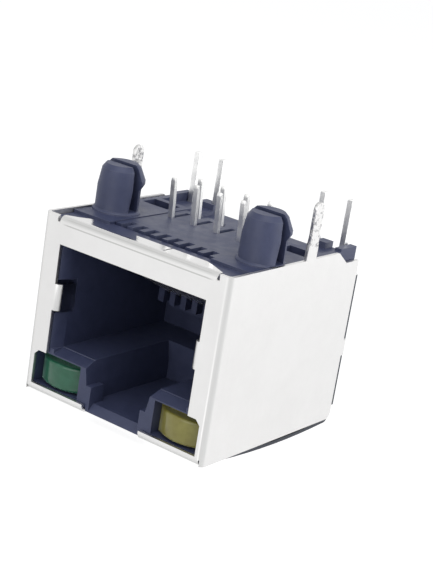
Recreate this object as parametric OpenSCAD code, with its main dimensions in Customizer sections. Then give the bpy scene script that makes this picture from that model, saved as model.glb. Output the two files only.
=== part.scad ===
// Single-port shielded board jack with two indicator lamps.
// It lies on its latch wall with the board side up: X runs across the mouth,
// Y runs from the mouth into the jack, Z runs from the latch wall to the board side.

/* [Shell] */
// Outside width across the side walls
shell_w = 16.1; // [15.9:0.1:18]
// Height of the side walls, from the latch side to the board
shell_h = 13; // [12.9:0.1:14]
// Depth of the side walls behind the front face
shell_d = 15.4; // [15.2:0.1:18]
// Thickness of the folded sheet
sheet_t = 0.25; // [0.2:0.01:0.28]
// Inside radius of the folds
fold_r = 0.2; // [0.1:0.05:0.3]
// How far the latch wall bows outwards
latch_bow = 0.6; // [0.2:0.05:1]
// Depth of the bow's lowest point
bow_y = 10.4; // [8:0.1:11]
// Gap between folded edges that meet
seam = 0.06; // [0.03:0.01:0.1]
// Drop of the rear plate's top edge below the side walls
rear_drop = 1; // [0.6:0.1:3]
// Outside radius of the fold between latch wall and rear plate
heel_r = 0.5; // [0.4:0.05:1]
// Length of the notch at the rear of each side wall
notch_l = 2.8; // [2:0.1:3.4]
// Depth of that notch
notch_drop = 0.85; // [0.5:0.05:1.2]

/* [Mouth in the front plate] */
// Step from the plug cavity out to the side edge of the mouth
mouth_side = 0.4; // [0.3:0.05:0.6]
// Lap of the front plate over the cavity's ceiling
mouth_lap = 0.1; // [0:0.05:0.2]
// Gap between a lamp tunnel and the upper edge of its window
window_gap = 0.09; // [0.05:0.01:0.2]
// Corner cut of the lamp windows
window_chamfer = 0.35; // [0.1:0.05:0.6]
// Width of the cut for the plug's latch
keyway_w = 5.1; // [4.6:0.1:5.6]
// Depth of that cut in the latch wall
keyway_relief = 1.3; // [1:0.1:2]

/* [Ground springs at the mouth] */
// Height of the springs' lower edge above the cavity's floor
spring_rise = 2.8; // [1.5:0.1:3.5]
// Width of each spring strip
spring_w = 1.9; // [1:0.1:2.4]
// How far a spring stands into the plug cavity
spring_proud = 0.07; // [0.02:0.01:0.2]
// Depth that the springs reach behind the front face
spring_reach = 1.6; // [1.2:0.1:4.5]

/* [Board side flaps] */
// Depth of the left flap
flap_left_d = 1.5; // [0.9:0.05:1.7]
// Depth of the right flap
flap_right_d = 1.5; // [1.2:0.05:1.7]
// Depth of the folded rim between the flaps
flap_rim_d = 0.5; // [0.46:0.02:0.8]
// Distance of the left flap from the left side
flap_left_inset = 1.45; // [1:0.05:2]
// Distance of the right flap from the right side
flap_right_inset = 1.15; // [1:0.05:2]
// Width of the left flap
flap_left_w = 2.5; // [1.8:0.1:4]
// Width of the right flap
flap_right_w = 7.2; // [5:0.1:8]
// Slant of the flaps' facing ends
flap_slant = 0.8; // [0:0.1:1.2]
// Distance of the slit from the right flap's left end
slit_inset = 2.3; // [1:0.1:4]

/* [Shield solder tabs] */
// Distance of the tabs' middle from the front face
tab_y = 9; // [8:0.01:10]
// Width of a tab
tab_w = 1.15; // [1:0.05:1.6]
// Length of a tab above the board side
tab_l = 4; // [3:0.1:4.6]

/* [Housing] */
// Clearance between housing and shell
housing_fit = 0.08; // [0.05:0.01:0.12]
// Drop of the housing's board side below the side walls
housing_drop = 0.1; // [0.05:0.01:0.2]
// Gap between the housing's rear face and the side walls' rear edges
rear_gap = 0.1; // [0.05:0.05:0.5]
// Width of the plug cavity
cavity_w = 11.9; // [11.7:0.05:12]
// Height of the plug cavity's floor beside the keyway
cavity_floor = 3.5; // [3.4:0.05:3.9]
// Thickness of the housing over the plug cavity
ceiling_t = 1.75; // [1.6:0.05:1.85]
// Depth of the plug cavity
cavity_d = 12.5; // [12.2:0.1:12.6]
// Depth of the lead-in slopes at the mouth
lead_in_d = 1.3; // [0.8:0.1:1.6]
// Depth of the low step behind the flaps
front_step_d = 2.55; // [1.8:0.05:3]
// Drop of the low decks at the rear of the board side
deck_drop = 0.45; // [0.3:0.05:0.6]
// Width of the pads outside the inner leads
pad_side = 0.9; // [0.5:0.05:1.1]
// Depth of those pads
pad_d = 1; // [0.6:0.1:1.6]
// Wall between a cored pocket and its neighbours
core_wall = 0.6; // [0.4:0.05:0.9]
// Wall between a cored pocket and the side wall
core_side = 0.42; // [0.3:0.02:0.8]
// Distance of the cored pockets from the rear face
core_rear = 4.3; // [3.6:0.1:4.4]
// Length of a cored pocket
core_d = 1.5; // [1:0.1:1.8]
// Depth of a cored pocket
core_depth = 3.4; // [1:0.1:4]

/* [Latch keyway] */
// Width of the upper step that the latch passes
latch_w = 5.3; // [5:0.1:5.5]
// Widening of that step up to the cavity's floor, on each side
latch_flare = 0.3; // [0:0.05:0.4]
// Width of the narrow slot that catches the latch
catch_w = 4.4; // [3.6:0.1:4.6]
// Height of the catch ledges
catch_h = 1.9; // [1.5:0.1:2.3]
// Depth of the wall that carries the catch ledges
catch_d = 1.7; // [1.4:0.1:2.2]
// Height of the keyway's floor
keyway_floor = 0.65; // [0.6:0.05:1]
// Slope at the front edge of the keyway's floor
keyway_slope = 0.5; // [0.2:0.05:0.6]
// Depth of the keyway behind the front face
keyway_d = 9.4; // [8:0.1:11]

/* [Board pegs and standoffs] */
// Height of the standoffs above the side walls
seat_rise = 0.1; // [0.05:0.05:0.3]
// Depth of the rear standoffs
foot_d = 2; // [1.4:0.1:2.6]
// Distance between the pegs
peg_span = 12.7; // [12.5:0.1:12.8]
// Distance of the pegs from the front face
peg_y = 5.45; // [5.2:0.05:5.6]
// Diameter of the pegs
peg_d = 3.1; // [2.9:0.05:3.2]
// Length of the pegs above the side walls
peg_l = 3.4; // [3:0.1:4]
// How far the snap barb stands proud of the peg
barb_proud = 0.22; // [0.1:0.02:0.24]
// Narrowing of the peg's radius from the board to its tip
peg_draft = 0.17; // [0.05:0.01:0.25]
// Width of the split at the peg's foot
split_foot = 0.95; // [0.6:0.05:1.1]
// Width of the split at the peg's tip
split_tip = 0.15; // [0.1:0.05:0.6]
// How far the peg's collar stands proud of the peg
collar_proud = 0.17; // [0.1:0.01:0.3]
// Thickness of the board that the peg barbs clear
board_t = 1.57; // [1.5:0.01:1.62]

/* [Contacts] */
// Distance between neighbouring contacts
pitch = 1.02; // [1:0.01:1.04]
// Distance between the two rows of tails
row_gap = 1.78; // [1.6:0.01:1.9]
// Distance of the front row's tips from the front face
row_y = 7.99; // [7.8:0.01:8.2]
// Forward lean of the tails
tail_lean = 0.35; // [0:0.05:0.4]
// Length of the tails above the board side
tail_l = 2.75; // [2:0.05:3.5]
// Thickness of the contact strip
contact_t = 0.3; // [0.2:0.01:0.32]
// Width of the contact strip
contact_w = 0.36; // [0.25:0.01:0.38]
// Middle bend radius of the contact strip
contact_bend = 0.35; // [0.25:0.05:0.45]
// Height of the contacts' level run above the cavity's ceiling
run_rise = 0.9; // [0.8:0.05:1]
// Distance of the contacts' front bend from the front face
nose_y = 1.8; // [1.7:0.05:1.9]
// Distance of the spring tips from the front face
tip_y = 9.9; // [9.6:0.1:10]
// Drop of the spring tips below the cavity's ceiling
tip_drop = 4.2; // [3.8:0.05:4.4]

/* [Contact carrier] */
// Distance from the outer contacts to the carrier's sides
carrier_side = 0.78; // [0.7:0.01:0.85]
// Distance of the carrier's front face from the front face of the jack
carrier_y = 3.15; // [3.1:0.05:3.4]
// Depth at which the carrier's raised part ends
carrier_step_y = 11; // [10.8:0.1:11.4]
// Drop of the carrier behind its raised part
carrier_step = 0.7; // [0.4:0.05:0.8]
// Gap between the carrier's rear leg and the cavity's rear wall
carrier_rear_gap = 0.2; // [0.1:0.05:0.3]
// Distance of the front grooves' rear ends from the front face of the jack
carrier_groove_y = 4.3; // [3.6:0.1:5]
// Thickness of the carrier over the contacts' level run
carrier_cover = 0.8; // [0.6:0.05:0.85]
// Clearance of the carrier in the housing
carrier_fit = 0.05; // [0.03:0.01:0.08]
// Width of the comb slots
comb_slot = 0.54; // [0.5:0.01:0.6]

/* [Lamps] */
// Width of a lamp's body
lamp_w = 4; // [3.9:0.05:4.05]
// Height of a lamp's body
lamp_h = 2.3; // [2.2:0.05:2.35]
// Length of a lamp's body
lamp_l = 5.2; // [4:0.1:7]
// Height of the lamps' underside
lamp_floor = 0.65; // [0.6:0.05:0.8]
// Thickness of the housing outside a lamp
lamp_wall = 0.26; // [0.2:0.01:0.35]
// Clearance round a lamp
lamp_fit = 0.06; // [0.04:0.01:0.08]
// Distance of a lens's crown from the front face
lens_y = 0.3; // [0.28:0.02:0.6]
// Width of a lens
lens_w = 3.6; // [3:0.1:3.8]
// Height of a lens
lens_h = 1.85; // [1.6:0.05:2.2]
// Rise of a lens's domed front
lens_dome = 0.65; // [0.3:0.05:0.8]
// Length of a lens in front of the body
lens_l = 0.9; // [0.85:0.05:1.4]

/* [Lamp leads] */
// Side of the square lamp leads
lead_s = 0.45; // [0.4:0.01:0.5]
// Distance between the two leads of a lamp
lead_gap = 2.29; // [2.2:0.01:2.4]
// Outward shift of the leads from the lamp's middle
lead_shift = 0.325; // [0.2:0.01:0.35]
// Distance of the upright leads from the housing's rear face
lead_inset = 0.4; // [0.32:0.01:0.45]
// Length of the leads above the board side
lead_l = 3.3; // [2.5:0.1:4]
// Depth of the lead posts inside the lamp, from the lens's crown
post_inset = 1.3; // [1:0.1:3]
// Width of a lead post
post_w = 0.9; // [0.6:0.1:1]

/* [Hidden] */
$fn = 48;
// Reach past a face that a cut goes through
past = 1;
// Running clearance round pieces that are pressed or moulded into plastic
grip = 0.02;
// Small bevel of moulded edges
bevel = 0.12;

// Shell values
fold_out = fold_r + sheet_t;
half_w = shell_w / 2;
inner_w = half_w - sheet_t;
panel_w = inner_w - seam;
rear_in = shell_d + seam;
rear_out = rear_in + sheet_t;
tongue_in = rear_out + seam;
total_d = tongue_in + sheet_t;
rear_wing_w = half_w - seam;
rear_plate_h = shell_h - rear_drop;
// The bowed latch wall is one arc from here back to the heel fold, which meets it tangentially
bow_y0 = 0.9;
bow_radius = (pow(bow_y - bow_y0, 2) + pow(latch_bow, 2)) / (2 * latch_bow);
bow_centre = [bow_y, bow_radius - latch_bow];
heel_y = rear_out - heel_r;
heel_centre = [heel_y, bow_centre[1] - sqrt(pow(bow_radius - heel_r, 2) - pow(heel_y - bow_y, 2))];
heel_dir = (heel_centre - bow_centre) / norm(heel_centre - bow_centre);
// Interlocking tongues of the side walls over the rear plate
tongue_z0 = 4.9;
tongue_h = 1.2;
tongue_reach = 1.1;
// Notches of the side walls at the rear of the board side
notch_y = shell_d - notch_l;
notch_slope = 1.15;
// Solder tabs
tab_shoulder = 0.8;
tab_neck = 0.1;
tab_top = shell_h + tab_l;
// Flaps, and the slit and slanted end of the right one
flap_left_x0 = flap_left_inset - half_w;
flap_left_x1 = flap_left_x0 + flap_left_w;
flap_right_x1 = half_w - flap_right_inset;
flap_right_x0 = flap_right_x1 - flap_right_w;
slit_x = flap_right_x0 + slit_inset;
slit_w = 0.12;
flap_taper = 2;
flap_step = 1.2;
flap_nip = 0.35;
relief_r = 0.22;
// Ground springs
spring_gap = cavity_w - 2 * spring_proud;
spring_z = cavity_floor + spring_rise;
spring_lean = 3;

// Housing values
housing_w = inner_w - housing_fit;
housing_y = sheet_t + housing_fit;
housing_z = sheet_t + housing_fit;
housing_d = shell_d - rear_gap;
housing_top = shell_h - housing_drop;
cavity_top = housing_top - ceiling_t;
front_step = shell_h - sheet_t - housing_fit;
mouth_w = cavity_w + 2 * mouth_side;
mouth_top = cavity_top - mouth_lap;
// Pockets that the ground springs move in
spring_room = 0.75;
spring_edge = 0.25;
// Chin that fills the latch cut of the shell
chin_w = keyway_w - 2 * housing_fit;
chin_z = 0.1;
chin_d = keyway_relief - housing_fit;

// Seating plane on the board
seat_z = shell_h + seat_rise;

// Peg values
peg_r = peg_d / 2;
peg_root = housing_top - sheet_t;
collar_r = peg_r + collar_proud;
barb_rise = 0.4;
barb_land = 0.25;
tip_r = peg_r - peg_draft;
tip_taper = 0.35;
tip_round = 0.25;

// Contact values
contact_count = 8;
run_z = cavity_top + run_rise;
tail_top = shell_h + tail_l;
tip_z = cavity_top - tip_drop;
spring_drop = 0.95;
tail_point = 0.35;
function contact_x(i) = (i - (contact_count + 1) / 2) * pitch;
function is_rear(i) = i % 2 == 0;
function tail_y(i) = row_y + (is_rear(i) ? row_gap : 0);
function foot_y(i) = tail_y(i) + tail_lean;

// Carrier values
carrier_w = (contact_count - 1) * pitch + 2 * carrier_side;
carrier_d = cavity_d - carrier_rear_gap;
carrier_top = run_z + carrier_cover;
carrier_under = cavity_top + 0.1;
leg_t = 1.4;
leg_y = carrier_d - leg_t;
leg_z = tip_z - 1.55;
comb_y = leg_y - 1.7;
comb_z0 = tip_z - 0.75;
comb_z1 = tip_z + 2.65;
groove_w = 0.42;
groove_h = 0.45;
groove_l = 2;

// Lamp values
lamp_x = housing_w - lamp_wall - lamp_fit - lamp_w / 2;
lamp_mid = lamp_floor + lamp_h / 2;
lamp_tunnel_z0 = lamp_floor - lamp_fit;
lamp_tunnel_z1 = lamp_floor + lamp_h + lamp_fit;
window_w = 2 * lamp_x + lamp_w;
window_bottom = lamp_tunnel_z0;
window_top = lamp_tunnel_z1 + window_gap;
lamp_y = lens_y + lens_l;
lens_z = lamp_floor + 0.07;
dome_r = (lens_w * lens_w / 4 + lens_dome * lens_dome) / (2 * lens_dome);
post_y = lens_y + post_inset;
lead_inner_x = lamp_x + lead_shift - lead_gap / 2;
lead_outer_x = lamp_x + lead_shift + lead_gap / 2;
lead_y = housing_d - lead_inset;
lead_top = shell_h + lead_l;
lead_groove = lead_s + 0.16;

// Rear of the housing's board side: a low middle behind the carrier, low decks beside it,
// pads at the inner leads and feet at the corners
middle_deck = rear_plate_h + housing_drop;
side_deck = housing_top - deck_drop;
pad_x0 = carrier_w / 2;
pad_x1 = lead_inner_x + lead_groove / 2 + pad_side;
foot_x0 = lead_outer_x + lead_groove / 2;
heel_cut = heel_r / 2;
// Cored pockets between pegs and rear corners
core_x0 = carrier_w / 2 + core_wall;
core_x1 = housing_w - core_side;
core_y1 = housing_d - core_rear;
core_y0 = core_y1 - core_d;
core_floor = housing_top - core_depth;
side_deck_y = core_y1 + core_wall;

// Moves the working frame, which starts at the front face, onto the middle of the footprint
module placed() {
    translate([0, -total_d / 2, latch_bow]) children();
}

// A block given by its six faces
module block(x0, x1, y0, y1, z0, z1) {
    translate([x0, y0, z0]) cube([x1 - x0, y1 - y0, z1 - z0]);
}

// Copies on both sides of the middle
module both_sides() {
    children();
    mirror([1, 0, 0]) children();
}

// A profile drawn in Y and Z, run along X
module along_x(x0, x1) {
    translate([x0, 0, 0]) rotate([90, 0, 90]) linear_extrude(height = x1 - x0) children();
}

// A profile drawn in X and Z, run along Y
module along_y(y0, y1) {
    translate([0, y1, 0]) rotate([90, 0, 0]) linear_extrude(height = y1 - y0) children();
}

// One quarter of a folded sheet's bend, in the quadrant towards -X and -Y of its centre
module bend(outer = fold_out) {
    difference() {
        intersection() {
            circle(r = outer);
            translate([-outer, -outer]) square(outer);
        }
        circle(r = outer - sheet_t);
    }
}

// ---- Bent strips: the contacts and the lamp leads ----
function unit(v) = v / norm(v);
function left_of(v) = [-v[1], v[0]];
// Points of the round bend at corner b of the route a, b, c
function bend_points(a, b, c, r, steps) =
    let (u = unit(a - b), v = unit(c - b),
         half = acos(u * v) / 2,
         centre = b + unit(u + v) * r / sin(half),
         from = b + u * r / tan(half) - centre,
         turn = (180 - 2 * half) * sign(cross(-u, v)))
    [for (k = [0:steps]) let (w = turn * k / steps)
        centre + [from[0] * cos(w) - from[1] * sin(w), from[0] * sin(w) + from[1] * cos(w)]];
function round_route(p, r, steps) =
    [p[0],
     for (i = [1:len(p) - 2]) each bend_points(p[i - 1], p[i], p[i + 1], r, steps),
     p[len(p) - 1]];
function side_points(q, off) =
    [for (i = [0:len(q) - 1])
        let (a = i == 0 ? q[0] : q[i - 1],
             c = i == len(q) - 1 ? q[i] : q[i + 1],
             n = left_of(unit(c - a)))
        q[i] + n * off];
module bent_strip(route, r, thickness, width, steps = 6) {
    q = round_route(route, r, steps);
    far_side = side_points(q, -thickness / 2);
    along_x(-width / 2, width / 2)
        polygon(concat(side_points(q, thickness / 2),
                       [for (i = [len(far_side) - 1:-1:0]) far_side[i]]));
}

// ---- Shell: one folded sheet ----
// Front plate and side walls, seen from the board side
module wall_outline(w, y, r) {
    translate([-w + r, y]) square([2 * (w - r), shell_d - y]);
    translate([-w, y + r]) square([2 * w, shell_d - y - r]);
    for (x = [-w + r, w - r]) translate([x, y + r]) circle(r = r);
}

module walls() {
    linear_extrude(height = shell_h) difference() {
        wall_outline(half_w, 0, fold_out);
        wall_outline(inner_w, sheet_t, fold_r);
        translate([-inner_w, sheet_t + fold_r]) square([2 * inner_w, shell_d]);
    }
}

// The plug opening, the lamp windows and the latch cut in the front plate
module mouth_outline() {
    translate([-mouth_w / 2, window_top - past]) square([mouth_w, mouth_top - window_top + past]);
    translate([-keyway_w / 2, -past]) square([keyway_w, window_top]);
    polygon([[-window_w / 2, window_bottom], [window_w / 2, window_bottom],
             [window_w / 2, window_top - window_chamfer],
             [window_w / 2 - window_chamfer, window_top],
             [-window_w / 2 + window_chamfer, window_top],
             [-window_w / 2, window_top - window_chamfer]]);
}

// What the side walls lose: the rear notch and the round heel corner
module wall_cuts() {
    along_x(-half_w - past, half_w + past) {
        polygon([[notch_y, shell_h + past], [notch_y, shell_h],
                 [notch_y + notch_slope, shell_h - notch_drop],
                 [shell_d + past, shell_h - notch_drop], [shell_d + past, shell_h + past]]);
        difference() {
            translate([shell_d - heel_r, -past]) square([heel_r + past, heel_r + past]);
            translate([shell_d - heel_r, heel_r]) circle(r = heel_r);
        }
    }
}

// The folded rim and flaps on the board side
module flap_outline() {
    translate([flap_left_x0, fold_out - grip])
        square([flap_right_x1 - flap_left_x0, flap_rim_d - fold_out + 2 * grip]);
    polygon([[flap_left_x0, fold_out], [flap_left_x1, fold_out], [flap_left_x1, flap_rim_d],
             [flap_left_x1 - flap_slant, flap_left_d],
             [flap_left_x1 - flap_slant - flap_nip, flap_left_d],
             [flap_left_x0 + flap_slant, (flap_left_d + flap_rim_d) / 2],
             [flap_left_x0, flap_rim_d]]);
    polygon([[flap_right_x0, fold_out], [flap_right_x1, fold_out], [flap_right_x1, flap_rim_d],
             [flap_right_x1 - flap_step, flap_right_d - flap_nip],
             [flap_right_x1 - flap_taper, flap_right_d],
             [flap_right_x0 - flap_slant, flap_right_d], [flap_right_x0, flap_rim_d]]);
}

module flaps() {
    along_x(flap_left_x0, flap_right_x1)
        translate([fold_out, shell_h - fold_out]) mirror([0, 1]) bend();
    difference() {
        translate([0, 0, shell_h - sheet_t]) linear_extrude(height = sheet_t) flap_outline();
        block(slit_x - slit_w / 2, slit_x + slit_w / 2, flap_rim_d, flap_right_d + past,
              shell_h - past, shell_h + past);
    }
}

// A ring as thick as the sheet, with the given outer radius
module sheet_ring(r) {
    difference() {
        circle(r = r, $fn = 360);
        circle(r = r - sheet_t, $fn = 360);
    }
}

// Latch wall and rear plate, seen from the side
module latch_wall_outline() {
    // The bow's arc runs on a little into the heel's, so that the two are one sheet
    lap = [grip, 0];
    heel_end = bow_centre + heel_dir * (bow_radius + past) + lap;
    translate([fold_out, fold_out]) bend();
    translate([fold_out, 0]) square([bow_y0 - fold_out, sheet_t]);
    intersection() {
        translate(bow_centre) sheet_ring(bow_radius);
        polygon([[bow_y0, -latch_bow - past], heel_end, bow_centre + lap, [bow_y0, bow_centre[1]]]);
    }
    intersection() {
        translate(heel_centre) sheet_ring(heel_r);
        polygon([heel_centre, heel_centre + heel_dir * 2 * heel_r,
                 heel_centre + [2 * heel_r, -2 * heel_r], heel_centre + [2 * heel_r, 0]]);
    }
    translate([rear_in, heel_centre[1] - grip])
        square([sheet_t, rear_plate_h - heel_centre[1] + grip]);
}

module latch_wall() {
    difference() {
        union() {
            along_x(-panel_w, panel_w) latch_wall_outline();
            block(-rear_wing_w, rear_wing_w, rear_in, rear_out, 2 * heel_r, rear_plate_h);
        }
        block(-keyway_w / 2, keyway_w / 2, -past, keyway_relief, -latch_bow - past, fold_out + past);
        // Notches that the side walls' tongues pass through
        both_sides() block(half_w - 2 * sheet_t - seam, half_w + past, shell_d, rear_out + past,
                           tongue_z0 - seam, tongue_z0 + tongue_h + seam);
        // Clipped top corners
        both_sides() along_y(shell_d, rear_out + past)
            polygon([[rear_wing_w - past, rear_plate_h], [rear_wing_w, rear_plate_h - past],
                     [rear_wing_w + past, rear_plate_h - past],
                     [rear_wing_w + past, rear_plate_h + past], [rear_wing_w - past, rear_plate_h + past]]);
    }
}

// A tongue of the right side wall, folded over the rear plate
module tongue() {
    translate([0, 0, tongue_z0]) linear_extrude(height = tongue_h) {
        translate([inner_w, shell_d - past]) square([sheet_t, total_d - fold_out - shell_d + past]);
        translate([half_w - fold_out, total_d - fold_out]) mirror([1, 0]) mirror([0, 1]) bend();
        translate([half_w - fold_out - tongue_reach, tongue_in]) square([tongue_reach, sheet_t]);
    }
}

// A ground spring, folded in from the right edge of the mouth
module ground_spring() {
    translate([0, 0, spring_z]) linear_extrude(height = spring_w) {
        translate([spring_gap / 2 + fold_out, fold_out]) {
            bend();
            rotate(spring_lean) translate([-fold_out, 0]) square([sheet_t, spring_reach - fold_out]);
            translate([0, -fold_out]) square([mouth_w / 2 - spring_gap / 2 - fold_out + past, sheet_t]);
        }
    }
}

module solder_tab() {
    along_x(inner_w, half_w) {
        translate([tab_y - tab_w / 2, shell_h - past])
            square([tab_w, past + tab_shoulder]);
        polygon([[tab_y - tab_w / 2, shell_h + tab_shoulder],
                 [tab_y - tab_w / 2 + tab_neck, shell_h + 2 * tab_shoulder],
                 [tab_y - tab_w / 2 + tab_neck, tab_top - tab_w / 2 + tab_neck],
                 [tab_y + tab_w / 2 - tab_neck, tab_top - tab_w / 2 + tab_neck],
                 [tab_y + tab_w / 2 - tab_neck, shell_h + 2 * tab_shoulder],
                 [tab_y + tab_w / 2, shell_h + tab_shoulder]]);
        translate([tab_y, tab_top - tab_w / 2 + tab_neck]) circle(r = tab_w / 2 - tab_neck);
    }
}

module shell() {
    color("gainsboro") placed() {
        difference() {
            walls();
            along_y(-past, sheet_t + fold_r + past) mouth_outline();
            wall_cuts();
            // The front plate ends where the flaps and the latch wall are folded from it
            block(flap_left_x0 - relief_r, flap_right_x1 + relief_r, -past, fold_out + past,
                  shell_h - fold_out, shell_h + past);
            block(-panel_w - seam, panel_w + seam, -past, fold_out, -past, fold_out);
        }
        flaps();
        latch_wall();
        both_sides() {
            tongue();
            ground_spring();
            solder_tab();
        }
    }
}

// ---- Housing: one moulding with pegs, keyway and lamp tunnels ----
module lamp_tunnel() {
    block(lamp_x - lamp_w / 2 - lamp_fit, lamp_x + lamp_w / 2 + lamp_fit,
          -past, housing_d + past, lamp_tunnel_z0, lamp_tunnel_z1);
}

// Slopes that lead the plug into the cavity: the floor beside the keyway, and the side walls
module lead_ins() {
    along_x(-cavity_w / 2, cavity_w / 2)
        polygon([[housing_y - past, window_top], [housing_y, window_top],
                 [lead_in_d, cavity_floor], [lead_in_d, cavity_floor + past],
                 [housing_y - past, cavity_floor + past]]);
    both_sides() translate([0, 0, cavity_floor - seam])
        linear_extrude(height = cavity_top - cavity_floor + seam)
            polygon([[0, housing_y - past], [mouth_w / 2, housing_y - past],
                     [mouth_w / 2, housing_y], [cavity_w / 2, lead_in_d], [0, lead_in_d]]);
}

module keyway() {
    flared = latch_w / 2 + latch_flare;
    along_y(-past, keyway_d)
        polygon([[-latch_w / 2, catch_h], [latch_w / 2, catch_h], [flared, cavity_floor],
                 [flared, cavity_floor + past], [-flared, cavity_floor + past], [-flared, cavity_floor]]);
    // The narrow slot between the catch ledges, and the room behind them
    block(-catch_w / 2, catch_w / 2, -past, catch_d + past, keyway_floor, catch_h + past);
    block(-latch_w / 2, latch_w / 2, catch_d, keyway_d, keyway_floor, catch_h + past);
    // Slope at the front edge of the floor
    along_x(-catch_w / 2, catch_w / 2)
        polygon([[housing_y, keyway_floor - keyway_slope], [housing_y + keyway_slope, keyway_floor],
                 [housing_y + keyway_slope, keyway_floor + past], [housing_y - past, keyway_floor + past],
                 [housing_y - past, keyway_floor - keyway_slope]]);
}

// Slots of the front comb that the contact springs bend through, closed above
module front_comb() {
    for (i = [1:contact_count])
        block(contact_x(i) - comb_slot / 2, contact_x(i) + comb_slot / 2,
              nose_y - contact_t / 2 - carrier_fit - grip, carrier_y,
              cavity_top - past, run_z + contact_t / 2 + carrier_fit);
}

module lead_grooves() {
    both_sides() for (x = [lead_inner_x, lead_outer_x])
        block(x - lead_groove / 2, x + lead_groove / 2,
              lead_y - lead_groove / 2, housing_d + past, lamp_mid, shell_h + past);
}

// Profile of a peg's lobe: a round shaft with a bevelled tip, or with the snap barb
function plain_lobe(rise, barb) =
    [[0, 0], [peg_r, 0], [peg_r, barb], [tip_r, rise - tip_taper], [tip_r - tip_round, rise], [0, rise]];
function barbed_lobe(rise, barb) =
    [[0, 0], [peg_r, 0], [peg_r, barb], [peg_r + barb_proud, barb + barb_rise],
     [peg_r + barb_proud, barb + barb_rise + barb_land], [tip_r, rise - tip_round],
     [tip_r - tip_round, rise], [0, rise]];

// Snap peg, standing on z = 0 and centred on the origin, with the barb towards +Y
module peg() {
    rise = shell_h + peg_l - peg_root;
    seat = seat_z - peg_root;
    difference() {
        union() {
            intersection() {
                rotate_extrude() polygon(plain_lobe(rise - bevel, seat + board_t));
                translate([-peg_d, -peg_d, 0]) cube([2 * peg_d, peg_d, rise]);
            }
            intersection() {
                rotate_extrude() polygon(barbed_lobe(rise, seat + board_t));
                translate([-peg_d, 0, 0]) cube([2 * peg_d, peg_d, rise]);
            }
        }
        // The split between the lobes, wider at the foot
        along_x(-peg_d, peg_d)
            polygon([[-split_foot / 2, seat - bevel], [split_foot / 2, seat - bevel],
                     [split_tip / 2, rise + past], [-split_tip / 2, rise + past]]);
    }
    // Collar that stands on the board
    rotate_extrude()
        polygon([[0, 0], [collar_r, 0], [collar_r, seat - bevel], [collar_r - bevel, seat], [0, seat]]);
}

module housing_body() {
    difference() {
        union() {
            block(-housing_w, housing_w, housing_y, housing_d, housing_z, housing_top);
            block(-chin_w / 2, chin_w / 2, housing_y, chin_d, chin_z, housing_z + bevel);
        }
        // Plug cavity
        block(-cavity_w / 2, cavity_w / 2, -past, cavity_d, cavity_floor, cavity_top);
        lead_ins();
        keyway();
        both_sides() lamp_tunnel();
        lead_grooves();
        along_x(-half_w, half_w)
            polygon([[housing_d - heel_cut, housing_z], [housing_d, housing_z + heel_cut],
                     [housing_d + past, housing_z], [housing_d, housing_z - past]]);
        // Room for the ground springs
        both_sides() block(cavity_w / 2 - past, cavity_w / 2 + spring_room, -past,
                           spring_reach + spring_edge,
                           spring_z - spring_edge, spring_z + spring_w + spring_edge);
        // Low step behind the flaps, deeper in front of the contact carrier
        block(-half_w, half_w, -past, front_step_d, front_step, shell_h + past);
        block(-carrier_w / 2 - carrier_fit, carrier_w / 2 + carrier_fit, -past, carrier_y,
              front_step, shell_h + past);
        // Seat of the contact carrier
        block(-carrier_w / 2 - carrier_fit, carrier_w / 2 + carrier_fit,
              carrier_y - carrier_fit, cavity_d, cavity_top - past, shell_h + past);
        front_comb();
        // Low middle behind the carrier
        block(-pad_x0, pad_x0, cavity_d, housing_d + past, middle_deck, shell_h + past);
        both_sides() {
            block(pad_x0 - past, foot_x0, side_deck_y, housing_d - pad_d, side_deck, shell_h + past);
            block(pad_x1, foot_x0, side_deck_y, housing_d + past, side_deck, shell_h + past);
            block(core_x0, core_x1, core_y0, core_y1, core_floor, shell_h + past);
        }
    }
}

module housing() {
    color("darkslategray") placed() {
        housing_body();
        // Rear standoffs
        both_sides() block(foot_x0, housing_w, housing_d - foot_d, housing_d, side_deck, seat_z);
        both_sides() difference() {
            translate([peg_span / 2, peg_y, peg_root]) peg();
            // The peg's root stays clear of the side wall
            block(housing_w, shell_w, 0, shell_d, 0, shell_h + seam);
        }
    }
}

// ---- Contacts ----
function contact_route(i) = [[tail_y(i), tail_top], [foot_y(i), run_z], [nose_y, run_z],
                             [nose_y, run_z - spring_drop], [tip_y, tip_z]];

// The strip of one contact; extra widens it all round to cut its channel
module contact_strip(i, extra = 0) {
    translate([contact_x(i), 0, 0])
        bent_strip(contact_route(i), contact_bend, contact_t + 2 * extra, contact_w + 2 * extra);
}

module contact(i) {
    color("silver") placed() difference() {
        contact_strip(i);
        // Pointed tail
        both_tail_sides(i) along_x(contact_x(i) - contact_w, contact_x(i) + contact_w)
            polygon([[tail_y(i) + contact_t / 4, tail_top], [tail_y(i) + contact_t / 2, tail_top - tail_point],
                     [tail_y(i) + contact_t, tail_top - tail_point], [tail_y(i) + contact_t, tail_top + past],
                     [tail_y(i) + contact_t / 4, tail_top + past]]);
    }
}

module both_tail_sides(i) {
    children();
    translate([0, 2 * tail_y(i), 0]) mirror([0, 1, 0]) children();
}

// ---- Contact carrier: holds the eight contacts ----
module carrier_outline() {
    polygon([[carrier_y, carrier_under], [leg_y, carrier_under], [leg_y, leg_z], [carrier_d, leg_z],
             [carrier_d, carrier_top - carrier_step], [carrier_step_y, carrier_top - carrier_step],
             [carrier_step_y, carrier_top], [carrier_y, carrier_top]]);
    translate([comb_y, comb_z0]) square([leg_y - comb_y, comb_z1 - comb_z0]);
}

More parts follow.
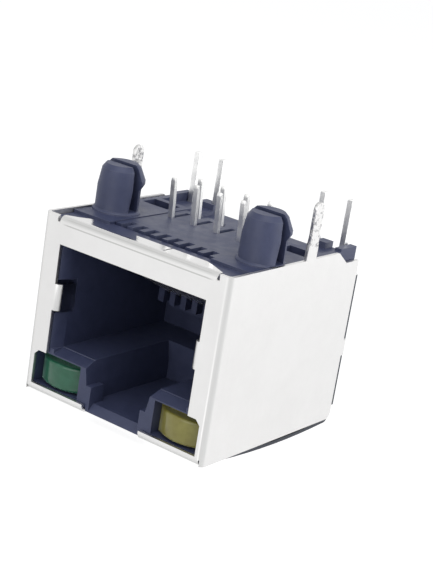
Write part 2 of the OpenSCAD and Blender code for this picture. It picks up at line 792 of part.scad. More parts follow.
module contact_carrier() {
    color("dimgray") placed() difference() {
        along_x(-carrier_w / 2, carrier_w / 2) carrier_outline();
        for (i = [1:contact_count]) {
            contact_strip(i, grip);
            // Slot of the rear comb that the spring's tip moves in
            block(contact_x(i) - comb_slot / 2, contact_x(i) + comb_slot / 2,
                  comb_y - past, leg_y, comb_z0 - past, comb_z1 + past);
            // Groove in the front edge
            block(contact_x(i) - comb_slot / 2, contact_x(i) + comb_slot / 2, carrier_y - past,
                  carrier_groove_y, carrier_top - groove_h, carrier_top + past);
            // Groove behind the tail
            block(contact_x(i) - groove_w / 2, contact_x(i) + groove_w / 2, foot_y(i),
                  foot_y(i) + groove_l, carrier_top - groove_h, carrier_top + past);
        }
    }
}

// ---- Lamps ----
// Lead frame of one lamp lead; side is -1 or 1, and extra widens it to cut its channel
module lamp_lead_strip(x, side, extra = 0) {
    translate([x, 0, 0])
        bent_strip([[post_y + lead_s, lamp_mid], [lead_y, lamp_mid], [lead_y, lead_top]],
                   lead_s, lead_s + 2 * extra, lead_s + 2 * extra);
    // Post that stands inside the lamp
    block(side > 0 ? x - post_w / 2 - extra : x - lead_s / 2 - extra,
          side > 0 ? x + lead_s / 2 + extra : x + post_w / 2 + extra,
          post_y - extra, post_y + lead_s + extra,
          lamp_mid - lead_s / 2 - extra, lamp_mid + lamp_h / 4 + extra);
}

// Body of a lamp with the domed lens on its front
module lamp_resin() {
    block(lamp_x - lamp_w / 2, lamp_x + lamp_w / 2, lamp_y, lamp_y + lamp_l,
          lamp_floor, lamp_floor + lamp_h);
    translate([0, 0, lens_z]) linear_extrude(height = lens_h) intersection() {
        translate([lamp_x - lens_w / 2, lens_y]) square([lens_w, lens_l + past]);
        translate([lamp_x, lens_y + dome_r]) circle(r = dome_r, $fn = 120);
    }
}

module lamp(side, shade) {
    color(shade) placed() difference() {
        mirror([side < 0 ? 1 : 0, 0, 0]) lamp_resin();
        lamp_lead_strip(side * lead_inner_x, -side, grip);
        lamp_lead_strip(side * lead_outer_x, side, grip);
    }
}

module lamp_lead(x, side) {
    color("lightgray") placed() lamp_lead_strip(x, side);
}

shell();
housing();
contact_carrier();
contact(1);  // contact_1
contact(2);  // contact_2
contact(3);  // contact_3
contact(4);  // contact_4
contact(5);  // contact_5
contact(6);  // contact_6
contact(7);  // contact_7
contact(8);  // contact_8
lamp(-1, "seagreen");  // lamp_left
lamp(1, "olive");  // lamp_right
lamp_lead(-lead_outer_x, -1);  // lamp_left_outer_lead
lamp_lead(-lead_inner_x, 1);  // lamp_left_inner_lead
lamp_lead(lead_inner_x, -1);  // lamp_right_inner_lead
lamp_lead(lead_outer_x, 1);  // lamp_right_outer_lead
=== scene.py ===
# %% [markdown]
# # Shielded board jack with two indicator lamps
# A moulded housing sits in a folded sheet-metal shell. Eight bent contacts run over the
# plug cavity, and two lamps shine out beside the latch keyway. The jack lies on its latch
# wall, with its pegs and solder tails pointing up.
#
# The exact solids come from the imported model. Blender adds what a solid model leaves out:
# edges that catch the light, real finishes, and a soft studio. Lengths are in metres, so
# one millimetre gets a name of its own.

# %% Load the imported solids
import math
import bpy
from mathutils import Euler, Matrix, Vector


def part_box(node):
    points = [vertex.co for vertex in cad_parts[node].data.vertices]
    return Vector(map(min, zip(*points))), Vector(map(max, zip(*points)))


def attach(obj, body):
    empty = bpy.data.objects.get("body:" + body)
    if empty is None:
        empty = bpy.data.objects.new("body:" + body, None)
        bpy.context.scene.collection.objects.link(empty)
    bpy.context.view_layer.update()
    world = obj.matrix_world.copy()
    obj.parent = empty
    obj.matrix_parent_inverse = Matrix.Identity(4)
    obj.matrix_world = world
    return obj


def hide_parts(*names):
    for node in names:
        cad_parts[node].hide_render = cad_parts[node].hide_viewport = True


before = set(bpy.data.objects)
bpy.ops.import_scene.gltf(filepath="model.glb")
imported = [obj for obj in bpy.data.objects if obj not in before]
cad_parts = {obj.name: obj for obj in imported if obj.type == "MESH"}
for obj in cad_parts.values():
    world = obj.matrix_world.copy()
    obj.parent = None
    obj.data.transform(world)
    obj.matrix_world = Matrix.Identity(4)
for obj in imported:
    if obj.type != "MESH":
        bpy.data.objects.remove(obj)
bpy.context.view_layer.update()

MM = 0.001


print("nodes:", len(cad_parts))

# %% [markdown]
# ## Camera
# The jack is seen from above its mouth, a little to the right, with the camera tilted
# about its own axis. A long lens keeps the walls nearly parallel. The place could be set
# by a tracking constraint, but plain numbers stay put when other views move the camera.

# %% Set the camera
CAMERA_LENS = 91.32
CAMERA_PLACE = (56.98, -80.44, 39.23)
CAMERA_TURN = (72.97, -8.877, 37.319)

camera_data = bpy.data.cameras.new("studio_camera")
camera_data.sensor_width = 36
camera_data.lens = CAMERA_LENS
camera_data.clip_start = 10 * MM
camera_data.clip_end = 10
camera = bpy.data.objects.new("studio_camera", camera_data)
camera.location = Vector(CAMERA_PLACE) * MM
camera.rotation_euler = Euler([math.radians(angle) for angle in CAMERA_TURN])
bpy.context.scene.collection.objects.link(camera)
bpy.context.scene.camera = camera
print("camera", [round(v / MM, 1) for v in camera.location])

# %% [markdown]
# ## Studio
# A pale floor runs under the jack, and the world round it is white. Only what the camera
# and the reflections see is full white. The light that falls on the jack comes from a
# softer world and from lamps at a plain level, so that colours keep their tone. The floor
# could be a photo backdrop with a curved sweep, but from this height a flat one does.

# %% World and floor
SOFT_LIGHT = 0.45
SOFT_COLOUR = (0.95, 0.97, 1)
FLOOR_SIDE = 3
FLOOR_PALE = (0.8, 0.8, 0.8)
FLOOR_SHADE = (0.3, 0.3, 0.3)
FLOOR_GLOW = 0.86


def make_nodes(tree):
    """An empty node tree's two helpers: add a node, and join two sockets."""
    tree.nodes.clear()

    def add(kind, **settings):
        node = tree.nodes.new(kind)
        for key, value in settings.items():
            setattr(node, key, value)
        return node

    return add, tree.links.new


def seen_directly(add, link):
    """1 for what the camera, a reflection or clear resin sees, 0 for light that scatters."""
    path = add("ShaderNodeLightPath")
    both = add("ShaderNodeMath", operation="MAXIMUM")
    link(path.outputs["Is Camera Ray"], both.inputs[0])
    link(path.outputs["Is Glossy Ray"], both.inputs[1])
    every = add("ShaderNodeMath", operation="MAXIMUM")
    link(both.outputs[0], every.inputs[0])
    link(path.outputs["Is Transmission Ray"], every.inputs[1])
    return every.outputs[0]


world = bpy.data.worlds.new("studio")
bpy.context.scene.world = world
world.use_nodes = True
add, link = make_nodes(world.node_tree)
white = add("ShaderNodeBackground")
white.inputs["Color"].default_value = (1, 1, 1, 1)
white.inputs["Strength"].default_value = 1
soft = add("ShaderNodeBackground")
soft.inputs["Color"].default_value = (*SOFT_COLOUR, 1)
soft.inputs["Strength"].default_value = SOFT_LIGHT
mix = add("ShaderNodeMixShader")
link(seen_directly(add, link), mix.inputs[0])
link(soft.outputs[0], mix.inputs[1])
link(white.outputs[0], mix.inputs[2])
out = add("ShaderNodeOutputWorld")
link(mix.outputs[0], out.inputs[0])

bpy.ops.object.select_all(action="DESELECT")
bpy.ops.mesh.primitive_plane_add(size=FLOOR_SIDE)
floor = bpy.context.object
floor.name = "studio_floor"
floor_finish = bpy.data.materials.new("pale_floor")
floor_finish.use_nodes = True
add, link = make_nodes(floor_finish.node_tree)
pale = add("ShaderNodeBsdfDiffuse")
pale.inputs["Color"].default_value = (*FLOOR_PALE, 1)
shade = add("ShaderNodeBsdfDiffuse")
shade.inputs["Color"].default_value = (*FLOOR_SHADE, 1)
glow = add("ShaderNodeEmission")
glow.inputs["Strength"].default_value = FLOOR_GLOW
bright = add("ShaderNodeAddShader")
link(shade.outputs[0], bright.inputs[0])
link(glow.outputs[0], bright.inputs[1])
mix = add("ShaderNodeMixShader")
link(seen_directly(add, link), mix.inputs[0])
link(pale.outputs[0], mix.inputs[1])
link(bright.outputs[0], mix.inputs[2])
out = add("ShaderNodeOutputMaterial")
link(mix.outputs[0], out.inputs["Surface"])
floor.data.materials.append(floor_finish)
print("studio:", world.name, "and", floor.name)

# %% Studio lamps
def area_lamp(name, place, aim, size, watts):
    """A square soft lamp, aimed at a point; places and sizes in millimetres."""
    data = bpy.data.lights.new(name, "AREA")
    data.size = size * MM
    data.energy = watts
    lamp = bpy.data.objects.new(name, data)
    lamp.location = Vector(place) * MM
    toward = Vector(aim) * MM - lamp.location
    lamp.rotation_euler = toward.to_track_quat("-Z", "Y").to_euler()
    bpy.context.scene.collection.objects.link(lamp)


MIDDLE = (0, 0, 8)
MOUTH = (0, 0, 6)
area_lamp("key_above", (40, -60, 160), MIDDLE, 120, 0.10)
area_lamp("side_right", (170, 30, 60), MIDDLE, 120, 0.10)
area_lamp("rim_rear_right", (110, 150, 45), MIDDLE, 120, 0.075)
area_lamp("fill_front", (0, -180, 60), MOUTH, 140, 0.085)

bpy.context.scene.view_settings.view_transform = "Standard"

# %% [markdown]
# ## Softened edges
# A stamped or moulded edge is never razor sharp, and its thin bright line is what makes
# a small part look real. A Bevel shader could fake it, but real faces also show in the
# outline. So each solid gets a copy: merged, freed of its needless edges, and given a
# narrow Bevel modifier with flat faces kept flat by weighted normals. The bevelled faces
# are marked, so that a finish can show them rubbed.

# %% Copy a solid with softened edges
MERGE = 0.002
FLAT_WITHIN = math.radians(0.6)
SHARP_FROM = math.radians(24)
SMOOTH_BELOW = math.radians(40)


def take_only(obj):
    """Selects one object and makes it active."""
    bpy.ops.object.select_all(action="DESELECT")
    obj.select_set(True)
    bpy.context.view_layer.objects.active = obj


def mark_faces(obj, label, test):
    """Writes a 0 or 1 for each face, which a finish can read by its label."""
    mesh = obj.data
    marks = mesh.attributes.new(label, "FLOAT", "FACE")
    marks.data.foreach_set("value", [float(test(face)) for face in mesh.polygons])


def flatten(obj):
    """Keeps the flat faces of the active object flat between smooth ones."""
    normals = obj.modifiers.new("flats", "WEIGHTED_NORMAL")
    normals.keep_sharp = True
    bpy.ops.object.modifier_apply(modifier="flats")


def soften(obj, width):
    """Rounds the sharp edges of a merged mesh, marks them, and keeps its flats flat."""
    take_only(obj)
    obj.data.materials.clear()
    for _ in range(2):
        obj.data.materials.append(None)
    for face in obj.data.polygons:
        face.material_index = 0
    bevel = obj.modifiers.new("edges", "BEVEL")
    bevel.width = width * MM
    bevel.segments = 2
    bevel.limit_method = "ANGLE"
    bevel.angle_limit = SHARP_FROM
    bevel.material = 1
    bpy.ops.object.modifier_apply(modifier="edges")
    mark_faces(obj, "rubbed", lambda face: face.material_index == 1)
    for face in obj.data.polygons:
        face.material_index = 0
    obj.data.materials.clear()
    bpy.ops.object.shade_smooth_by_angle(angle=SMOOTH_BELOW)
    flatten(obj)


def softened_copy(node, name, width):
    """A copy of a CAD node with softened edges, which stands for that node."""
    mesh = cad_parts[node].data.copy()
    copy = bpy.data.objects.new(name, mesh)
    bpy.context.scene.collection.objects.link(copy)
    take_only(copy)
    bpy.ops.object.mode_set(mode="EDIT")
    bpy.ops.mesh.select_all(action="SELECT")
    bpy.ops.mesh.remove_doubles(threshold=MERGE * MM)
    bpy.ops.mesh.dissolve_limited(angle_limit=FLAT_WITHIN)
    bpy.ops.object.mode_set(mode="OBJECT")
    soften(copy, width)
    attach(copy, "root")
    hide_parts(node)
    print(f"{name}: {len(mesh.polygons)} faces")
    return copy

# %% [markdown]
# ## Shared effects
# Four effects turn up in several finishes, so each is a node group that is built once.
# *Moulded grain* is the fine matt texture that a spark-eroded mould leaves. *Rolled grain*
# is the faint drawn-out texture of sheet metal. *Handling* is the slow drift of tone and
# gloss that fingers and trays leave behind. *Edge wear* is where the marked edges of a
# moulding are rubbed pale. Each could be built again in every finish, but as a group it is
# mended in one place. Patterns read Object coordinates, scaled to millimetres, so they
# stay put on each piece.

# %% Node group helper
def new_group(name, inputs, outputs):
    """A shader node group with named value inputs (and defaults) and named outputs."""
    group = bpy.data.node_groups.new(name, "ShaderNodeTree")
    for label, default in inputs:
        socket = group.interface.new_socket(label, in_out="INPUT", socket_type="NodeSocketFloat")
        socket.default_value = default
    for label in outputs:
        group.interface.new_socket(label, in_out="OUTPUT", socket_type="NodeSocketFloat")
    add, link = make_nodes(group)
    return group, add, link, add("NodeGroupInput"), add("NodeGroupOutput")


def object_millimetres(add, link, stretch=(1, 1, 1)):
    """Object coordinates in millimetres, drawn out along an axis where stretch is below 1."""
    place = add("ShaderNodeTexCoord")
    scale = add("ShaderNodeMapping")
    scale.inputs["Scale"].default_value = [s / MM for s in stretch]
    link(place.outputs["Object"], scale.inputs["Vector"])
    return scale.outputs[0]


def noise(add, link, vector, scale, detail, roughness=0.55):
    """Noise of a given count of features per millimetre; a socket may give that count."""
    node = add("ShaderNodeTexNoise")
    link(vector, node.inputs["Vector"])
    if isinstance(scale, (int, float)):
        node.inputs["Scale"].default_value = scale
    else:
        link(scale, node.inputs["Scale"])
    node.inputs["Detail"].default_value = detail
    node.inputs["Roughness"].default_value = roughness
    return node.outputs["Fac"]


def spread(add, link, value, low, high, low_in=0.3, high_in=0.7):
    """A value from a noise, mapped onto a new range and held inside it."""
    node = add("ShaderNodeMapRange")
    link(value, node.inputs["Value"])
    for label, number in (("From Min", low_in), ("From Max", high_in),
                          ("To Min", low), ("To Max", high)):
        node.inputs[label].default_value = number
    return node.outputs[0]


def calc(add, link, operation, first, second):
    """Two values, sockets or numbers, joined by one sum."""
    node = add("ShaderNodeMath", operation=operation)
    for socket, value in zip(node.inputs, (first, second)):
        if isinstance(value, (int, float)):
            socket.default_value = value
        else:
            link(value, socket)
    return node.outputs[0]


def face_mark(add, label):
    """The marks that a piece's faces carry, as a mask."""
    return add("ShaderNodeAttribute", attribute_name=label).outputs["Fac"]


# %% Moulded grain, rolled grain, handling and edge wear
moulded, add, link, given, result = new_group(
    "moulded_grain", [("Grain per mm", 9), ("Flow", 0.5)], ["Height", "Mottle"])
place = object_millimetres(add, link)
fine = noise(add, link, place, given.outputs["Grain per mm"], 4, 0.7)
slow = noise(add, link, place, 0.35, 2)
flow = calc(add, link, "MULTIPLY", slow, given.outputs["Flow"])
link(calc(add, link, "ADD", fine, flow), result.inputs["Height"])
link(spread(add, link, noise(add, link, place, 1.4, 4), 0, 1), result.inputs["Mottle"])

rolled, add, link, given, result = new_group(
    "rolled_grain", [("Lines per mm", 7)], ["Height", "Streak"])
place = object_millimetres(add, link, (1, 1, 0.06))
lines = noise(add, link, place, given.outputs["Lines per mm"], 4, 0.65)
link(lines, result.inputs["Height"])
link(spread(add, link, lines, 0, 1, 0.35, 0.65), result.inputs["Streak"])

handling, add, link, given, result = new_group(
    "handling", [("Patches per mm", 0.22)], ["Smudge", "Speck"])
place = object_millimetres(add, link)
patches = noise(add, link, place, given.outputs["Patches per mm"], 5, 0.6)
link(spread(add, link, patches, 0, 1, 0.38, 0.62), result.inputs["Smudge"])
specks = noise(add, link, place, 5.5, 2)
link(spread(add, link, specks, 0, 1, 0.7, 0.78), result.inputs["Speck"])

wear, add, link, given, result = new_group("edge_wear", [("Smudge", 0.5)], ["Wear"])
more_or_less = spread(add, link, given.outputs["Smudge"], 0.35, 0.8, 0, 1)
link(calc(add, link, "MULTIPLY", face_mark(add, "rubbed"), more_or_less), result.inputs["Wear"])
print("shared effects:", [g.name for g in bpy.data.node_groups])


# %% Start a finish
def new_finish(name):
    """A node-based material with a Principled BSDF, and the helpers to add to it."""
    material = bpy.data.materials.new(name)
    material.use_nodes = True
    add, link = make_nodes(material.node_tree)
    surface = add("ShaderNodeBsdfPrincipled")
    out = add("ShaderNodeOutputMaterial")
    link(surface.outputs[0], out.inputs["Surface"])
    return material, surface, add, link


def use_group(add, group, **values):
    """Places a node group, with its own values."""
    node = add("ShaderNodeGroup")
    node.node_tree = group
    for label, value in values.items():
        node.inputs[label.replace("_", " ")].default_value = value
    return node


def blend_colours(add, link, mask, first, second):
    """Two colours, fixed or from sockets, joined by a mask."""
    node = add("ShaderNodeMix", data_type="RGBA")
    colours = [socket for socket in node.inputs if socket.type == "RGBA"]
    for socket, colour in zip(colours, (first, second)):
        if isinstance(colour, tuple):
            socket.default_value = (*colour, 1)
        else:
            link(colour, socket)
    link(mask, node.inputs[0])
    return next(socket for socket in node.outputs if socket.type == "RGBA")


def bump(add, link, height, depth, strength):
    """A Bump node for a relief of the given depth in millimetres."""
    node = add("ShaderNodeBump")
    node.inputs["Strength"].default_value = strength
    node.inputs["Distance"].default_value = depth * MM
    link(height, node.inputs["Height"])
    return node.outputs[0]


# %% [markdown]
# ## Nickel plated sheet
# The shell is stamped from nickel plated sheet: bright but satin, with a drawn grain and
# soft smudges. Its bends and rounded edges are painted a darker grey, which is painted
# shade. A faint creased line runs along the upper bend of the front plate, as a shallow bump
# whose darker tone is painted shade. The edges left by shearing show darker base metal,
# deepened to near black with painted shade. Above the board side the solder tabs are
# dipped in solder, which dries with pits. The ground springs behind the mouth are burnished
# by the plugs that rub past them. Masks on Object coordinates place all this. An image
# could be painted instead, but masks stay sharp.

# %% Places on the shell
def axis_of(add, link):
    """The three Object coordinates in millimetres."""
    split = add("ShaderNodeSeparateXYZ")
    link(object_millimetres(add, link), split.inputs[0])
    return split.outputs


def between(add, link, value, low, high, blur):
    """1 where a value lies between two others, fading over a short way at both ends."""
    rise = spread(add, link, value, 0, 1, low - blur, low)
    fall = spread(add, link, value, 1, 0, high, high + blur)
    return calc(add, link, "MULTIPLY", rise, fall)


def oblique(add, link):
    """1 on folds and rounded edges, whose surface faces none of the three axes."""
    place = add("ShaderNodeTexCoord")
    split = add("ShaderNodeSeparateXYZ")
    link(place.outputs["Normal"], split.inputs[0])
    sizes = [calc(add, link, "ABSOLUTE", out, 0) for out in split.outputs]
    most = calc(add, link, "MAXIMUM", calc(add, link, "MAXIMUM", sizes[0], sizes[1]), sizes[2])
    return spread(add, link, most, 1, 0, 0.9, 0.995)


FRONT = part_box("shell")[0][1] / MM
TOP_EDGE = 13.6
CREASE = (13.04, 13.10)
SECOND_CREASE = (13.42, 13.46)
CREASE_ENDS = (-5.9, 6.2)
SPRINGS_ACROSS = (-6.3, 6.3)
SPRINGS_DEEP = (FRONT + 0.4, FRONT + 2.2)
print(f"front face at {FRONT:.2f} mm, top edge at {TOP_EDGE} mm")

# %% Tones of the shell
PLATING, THIN_PLATING = (0.745, 0.74, 0.735), (0.705, 0.70, 0.695)
# The two greys for bends and the pressed line are painted shade; the near black is darker base
# metal with painted shade.
FOLD_SHADE, CREASE_SHADE = (0.60, 0.60, 0.595), (0.50, 0.50, 0.49)
PITTED, SHEARED_IN_SHADE = (0.30, 0.30, 0.31), (0.05, 0.055, 0.07)

plated, surface, add, link = new_finish("nickel_plated_sheet")
grain = use_group(add, rolled, Lines_per_mm=6)
hands = use_group(add, handling, Patches_per_mm=0.2)
x, y, z = axis_of(add, link)
tone = blend_colours(add, link, hands.outputs["Smudge"], PLATING, THIN_PLATING)
# Bends and rounded edges are painted darker: painted shade.
fold_shade = oblique(add, link)
tone = blend_colours(add, link, fold_shade, tone, FOLD_SHADE)

# The pressed line along the upper bend is a bump below, and its darker tone here is painted
# shade.
on_front = spread(add, link, y, 1, 0, FRONT + 0.1, FRONT + 0.5)
across = between(add, link, x, *CREASE_ENDS, 0.5)
fainter = calc(add, link, "MULTIPLY", between(add, link, z, *SECOND_CREASE, 0.03), 0.6)
lines = calc(add, link, "MAXIMUM", between(add, link, z, *CREASE, 0.03), fainter)
crease_and_shade = calc(add, link, "MULTIPLY", calc(add, link, "MULTIPLY", on_front, across), lines)
tone = blend_colours(add, link, crease_and_shade, tone, CREASE_SHADE)

dipped = spread(add, link, z, 0, 1, TOP_EDGE + 0.3, TOP_EDGE + 0.9)
solder = noise(add, link, object_millimetres(add, link), 3.4, 4, 0.7)
pits = calc(add, link, "MULTIPLY", dipped, spread(add, link, solder, 0, 1, 0.52, 0.60))
tone = blend_colours(add, link, pits, tone, PITTED)
# The edges left by shearing are painted near black: darker base metal, with painted shade.
sheared_in_shade = face_mark(add, "cut")
tone = blend_colours(add, link, sheared_in_shade, tone, SHEARED_IN_SHADE)
link(tone, surface.inputs["Base Color"])
print("tones of the shell:", len(plated.node_tree.nodes), "nodes")

# %% Gloss and relief of the shell
bare = calc(add, link, "MULTIPLY", sheared_in_shade, 0.3)
link(calc(add, link, "SUBTRACT", 1, bare), surface.inputs["Metallic"])
sheen = spread(add, link, hands.outputs["Smudge"], 0.30, 0.38, 0, 1)
drawn = spread(add, link, grain.outputs["Streak"], 0, 0.06, 0, 1)
gloss = calc(add, link, "ADD", sheen, drawn)
gloss = calc(add, link, "ADD", gloss, calc(add, link, "MULTIPLY", sheared_in_shade, 0.15))
burnished = calc(add, link, "MULTIPLY", between(add, link, x, *SPRINGS_ACROSS, 0.05),
                 between(add, link, y, *SPRINGS_DEEP, 0.1))
gloss = calc(add, link, "SUBTRACT", gloss, calc(add, link, "MULTIPLY", burnished, 0.22))
link(gloss, surface.inputs["Roughness"])
relief = grain.outputs["Height"]
for hollow, depth in ((crease_and_shade, 2), (pits, 6)):
    relief = calc(add, link, "SUBTRACT", relief, calc(add, link, "MULTIPLY", hollow, depth))
link(bump(add, link, relief, 0.006, 0.6), surface.inputs["Normal"])
print("shell finish:", len(plated.node_tree.nodes), "nodes")

# %% [markdown]
# ## Moulded plastic
# Housing and carrier are a dark blue-black thermoplastic. Its grain scatters the light, so
# it is matt, with a faint mottle where the melt flowed and paler, rubbed edges. The grain
# could be real relief, but that would take millions of faces, so a bump does it.

# %% Plastic finishes
def plastic(name, dark, light, worn, grain_per_mm, relief):
    """A matt moulded plastic between two close tones, paler on rubbed edges."""
    material, surface, add, link = new_finish(name)
    grain = use_group(add, moulded, Grain_per_mm=grain_per_mm, Flow=0.5)
    hands = use_group(add, handling, Patches_per_mm=0.3)
    tone = blend_colours(add, link, grain.outputs["Mottle"], dark, light)
    rubbed = use_group(add, wear)
    link(hands.outputs["Smudge"], rubbed.inputs["Smudge"])
    tone = blend_colours(add, link, rubbed.outputs["Wear"], tone, worn)
    dust = calc(add, link, "MULTIPLY", hands.outputs["Speck"], 0.3)
    tone = blend_colours(add, link, dust, tone, worn)
    link(tone, surface.inputs["Base Color"])
    dry = spread(add, link, grain.outputs["Mottle"], 0.46, 0.58, 0, 1)
    greasy = spread(add, link, hands.outputs["Smudge"], 0, 0.1, 0, 1)
    link(calc(add, link, "SUBTRACT", dry, greasy), surface.inputs["Roughness"])
    surface.inputs["Specular IOR Level"].default_value = 0.4
    link(bump(add, link, grain.outputs["Height"], relief, 0.6), surface.inputs["Normal"])
    return material


housing_plastic = plastic(
    "housing_plastic", dark=(0.037, 0.045, 0.094), light=(0.047, 0.056, 0.112),
    worn=(0.080, 0.088, 0.135), grain_per_mm=9, relief=0.012)
carrier_plastic = plastic(
    "carrier_plastic", dark=(0.034, 0.042, 0.088), light=(0.044, 0.053, 0.106),
    worn=(0.075, 0.083, 0.130), grain_per_mm=11, relief=0.010)
print("plastics:", housing_plastic.name, carrier_plastic.name)

# %% [markdown]
# ## Tinned wire
# Contacts and lamp leads are drawn or stamped and tin plated: brighter than the shell
# where smooth, with a fine lengthwise grain and duller patches. The shell's finish could
# serve here too, but tin is paler than nickel and its grain on thin wire is finer.

# %% Contact and lead finishes
def tinned(name, bright, dull, rough):
    """A tin plated finish with dull patches."""
    material, surface, add, link = new_finish(name)
    grain = use_group(add, rolled, Lines_per_mm=14)
    hands = use_group(add, handling, Patches_per_mm=0.9)
    surface.inputs["Metallic"].default_value = 1
    tone = blend_colours(add, link, hands.outputs["Smudge"], bright, dull)
    link(tone, surface.inputs["Base Color"])
    link(spread(add, link, hands.outputs["Smudge"], rough, rough + 0.14, 0, 1),
         surface.inputs["Roughness"])
    link(bump(add, link, grain.outputs["Height"], 0.006, 0.6), surface.inputs["Normal"])
    return material


tinned_contact = tinned(
    "tinned_contact", bright=(0.92, 0.92, 0.91), dull=(0.78, 0.78, 0.77), rough=0.30)
tinned_lead = tinned(
    "tinned_lead", bright=(0.90, 0.90, 0.89), dull=(0.76, 0.76, 0.76), rough=0.28)
print("tinned finishes:", tinned_contact.name, tinned_lead.name)

# %% [markdown]
# ## Lamp resin
# The lamps are cast in a tinted resin that is milky with diffuser, so it glows softly and
# hides nearly all of the leads inside. Light scattered inside the resin could be traced,
# but that is slow and grainy in a piece this small. A little clear transmission does it,
# and sheen stands for the light that leaks out where the resin curves away.

# %% Lamp finishes
def resin(name, deep, pale, haze, clear):
    """A tinted resin, milky inside and glossy outside."""
    material, surface, add, link = new_finish(name)
    grain = use_group(add, moulded, Grain_per_mm=3, Flow=1)
    tone = blend_colours(add, link, grain.outputs["Mottle"], deep, pale)
    link(tone, surface.inputs["Base Color"])
    link(spread(add, link, grain.outputs["Mottle"], 0.10, 0.2, 0, 1), surface.inputs["Roughness"])
    surface.inputs["IOR"].default_value = 1.5
    surface.inputs["Transmission Weight"].default_value = clear
    surface.inputs["Sheen Weight"].default_value = 0.9
    surface.inputs["Sheen Roughness"].default_value = 0.3
    surface.inputs["Sheen Tint"].default_value = (*haze, 1)
    link(bump(add, link, grain.outputs["Height"], 0.01, 0.15), surface.inputs["Normal"])
    return material


green_resin = resin(
    "green_resin", deep=(0.010, 0.112, 0.055), pale=(0.024, 0.150, 0.082),
    haze=(0.6, 0.9, 0.8), clear=0.2)
yellow_resin = resin(
    "yellow_resin", deep=(0.22, 0.19, 0.032), pale=(0.29, 0.27, 0.06),
    haze=(0.9, 0.9, 0.7), clear=0.2)
print("finishes:", [m.name for m in bpy.data.materials])

# %% [markdown]
# ## Dress the solids
# The metal and plastic solids get softened copies. The width of each softened edge is
# that of the real one: a hair for stamped sheet, more for moulded plastic. They could be
# modelled anew, but the solids are exact already. The shell's edges left by shearing are
# marked, by their place and direction, for darker metal with painted shade.

# %% Shell, housing, carrier, contacts and leads
def finish_with(obj, material):
    """Gives a piece its only finish."""
    obj.data.materials.clear()
    obj.data.materials.append(material)


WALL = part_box("shell")[1][0] / MM


def is_sheared(face):
    """The side edges of the latch wall and of the rear plate, just inside the side walls."""
    return (abs(face.normal.x) > 0.9 and face.normal.x * face.center.x > 0
            and face.center.y / MM > FRONT + 0.6
            and WALL - 0.5 < abs(face.center.x) / MM < WALL - 0.03)


shell_sheet = softened_copy("shell", "shell_sheet", 0.03)
# These marked edges are painted near black by the shell finish: darker base metal, with painted
# shade.
mark_faces(shell_sheet, "cut", is_sheared)
finish_with(shell_sheet, plated)
finish_with(softened_copy("housing", "housing_moulding", 0.06), housing_plastic)
finish_with(softened_copy("contact_carrier", "carrier_moulding", 0.05), carrier_plastic)
for i in range(1, 9):
    wire = softened_copy(f"contact_{i}", f"contact_wire_{i}", 0.04)
    finish_with(wire, tinned_contact)
for side in ("left", "right"):
    for place_of_lead in ("outer", "inner"):
        node = f"lamp_{side}_{place_of_lead}_lead"
        finish_with(softened_copy(node, f"{node}_wire", 0.04), tinned_lead)

# %% [markdown]
# ## Lamps
# Each lamp is one casting: a square-shouldered body that is pushed into the housing, and
# a lens in front, bowed across its width and well rounded at its rim. The lens starts as
# a cylinder that stands upright, of the bow's radius. Three bisect cuts leave a slice of
# it, bevels round the corners and the rim, and its back is drawn out into the body. A
# cube could be bent with a modifier instead, but the cylinder gives the exact bow.

# %% Pick parts of a mesh by their place
def pick(obj, kind, test):
    """Selects the faces or edges that pass a test, and returns their number."""
    bpy.ops.object.mode_set(mode="EDIT")
    bpy.ops.mesh.select_mode(type=kind)
    bpy.ops.mesh.select_all(action="DESELECT")
    bpy.ops.object.mode_set(mode="OBJECT")
    mesh = obj.data
    items = mesh.polygons if kind == "FACE" else mesh.edges
    chosen = 0
    for item in items:
        if kind == "FACE":
            item.select = test(item.center / MM, item.normal)
        else:
            ends = [mesh.vertices[i].co / MM for i in item.vertices]
            item.select = test(ends[0], ends[1])
        chosen += item.select
    bpy.ops.object.mode_set(mode="EDIT")
    return chosen


def cut_away(place, normal):
    """Cuts the whole mesh at a plane, drops what is in front of it and closes the cut."""
    bpy.ops.mesh.select_all(action="SELECT")
    bpy.ops.mesh.bisect(plane_co=[v * MM for v in place], plane_no=normal,
                        use_fill=True, clear_outer=True)


# %% Cast a lamp
LENS_WIDE, LENS_BOW = 3.98, 2.817
LENS_LOW, LENS_HIGH = 1.34, 3.17
LENS_TALL, LENS_MIDDLE = LENS_HIGH - LENS_LOW, (LENS_LOW + LENS_HIGH) / 2
LENS_BACK = -6.81
CORNER_ROUND, RIM_ROUND, BODY_ROUND = 0.42, 0.2, 0.1
NEAR = 0.01


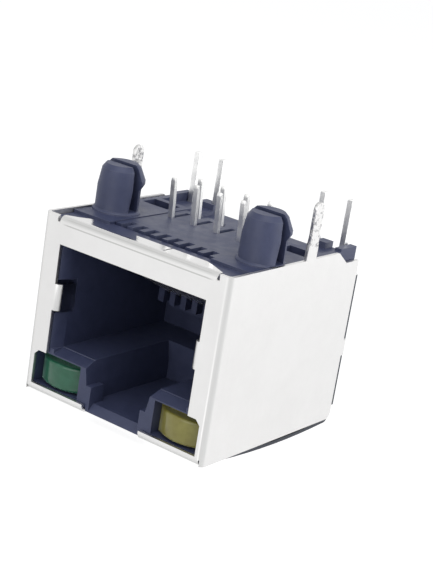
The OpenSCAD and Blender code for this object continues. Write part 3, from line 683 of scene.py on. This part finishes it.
def lamp(node, name, slot, material):
    """One lamp, from a slice of an upright cylinder, in place of its CAD node."""
    low, high = [[v / MM for v in corner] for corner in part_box(node)]
    middle = (low[0] + high[0]) / 2
    bpy.ops.object.select_all(action="DESELECT")
    bpy.ops.mesh.primitive_cylinder_add(
        vertices=128, radius=LENS_BOW * MM, depth=LENS_TALL * MM,
        location=[v * MM for v in (middle, low[1] + LENS_BOW, LENS_MIDDLE)])
    piece = bpy.context.object
    piece.name = name
    bpy.ops.object.transform_apply(location=True, rotation=True, scale=True)
    bpy.ops.object.mode_set(mode="EDIT")
    cut_away((middle, LENS_BACK, 0), (0, 1, 0))
    cut_away((middle - LENS_WIDE / 2, 0, 0), (-1, 0, 0))
    cut_away((middle + LENS_WIDE / 2, 0, 0), (1, 0, 0))
    corners = pick(piece, "EDGE", lambda a, b: abs(a.x - b.x) < NEAR and abs(a.z - b.z) > 1
                   and abs(abs(a.x - middle) - LENS_WIDE / 2) < NEAR
                   and a.y < LENS_BACK - NEAR)
    bpy.ops.mesh.bevel(offset=CORNER_ROUND * MM, segments=6, affect="EDGES")
    rims = pick(piece, "EDGE", lambda a, b: abs(a.z - b.z) < NEAR
                and min(abs(a.z - LENS_LOW), abs(a.z - LENS_HIGH)) < NEAR
                and min(a.y, b.y) < LENS_BACK - 2 * NEAR
                and abs(a.x - b.x) + abs(a.y - b.y) < 1.2)
    bpy.ops.mesh.bevel(offset=RIM_ROUND * MM, segments=4, affect="EDGES")
    pick(piece, "FACE", lambda c, n: n.y > 0.9)
    bpy.ops.mesh.extrude_region()
    bpy.ops.transform.resize(
        value=((high[0] - low[0]) / LENS_WIDE, 1, (high[2] - low[2]) / LENS_TALL),
        center_override=[v * MM for v in (middle, LENS_BACK, LENS_MIDDLE)])
    body_middle = (low[2] + high[2]) / 2
    bpy.ops.transform.translate(value=(0, 0, (body_middle - LENS_MIDDLE) * MM))
    bpy.ops.mesh.extrude_region_move(
        TRANSFORM_OT_translate={"value": (0, (high[1] - LENS_BACK) * MM, 0)})
    pick(piece, "EDGE", lambda a, b: abs(a.y - b.y) > 2)
    bpy.ops.mesh.bevel(offset=BODY_ROUND * MM, segments=2, affect="EDGES")
    bpy.ops.mesh.select_all(action="SELECT")
    bpy.ops.mesh.remove_doubles(threshold=0.001 * MM)
    bpy.ops.mesh.normals_make_consistent(inside=False)
    bpy.ops.object.mode_set(mode="OBJECT")
    bpy.ops.object.shade_smooth_by_angle(angle=math.radians(35))
    flatten(piece)
    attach(piece, "root")
    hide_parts(node)
    finish_with(piece, material)
    print(f"{name}: {corners} corners, {rims} rim edges, {len(piece.data.polygons)} faces")


lamp("lamp_left", "lamp_left_casting", "lamp_green", green_resin)
lamp("lamp_right", "lamp_right_casting", "lamp_yellow", yellow_resin)
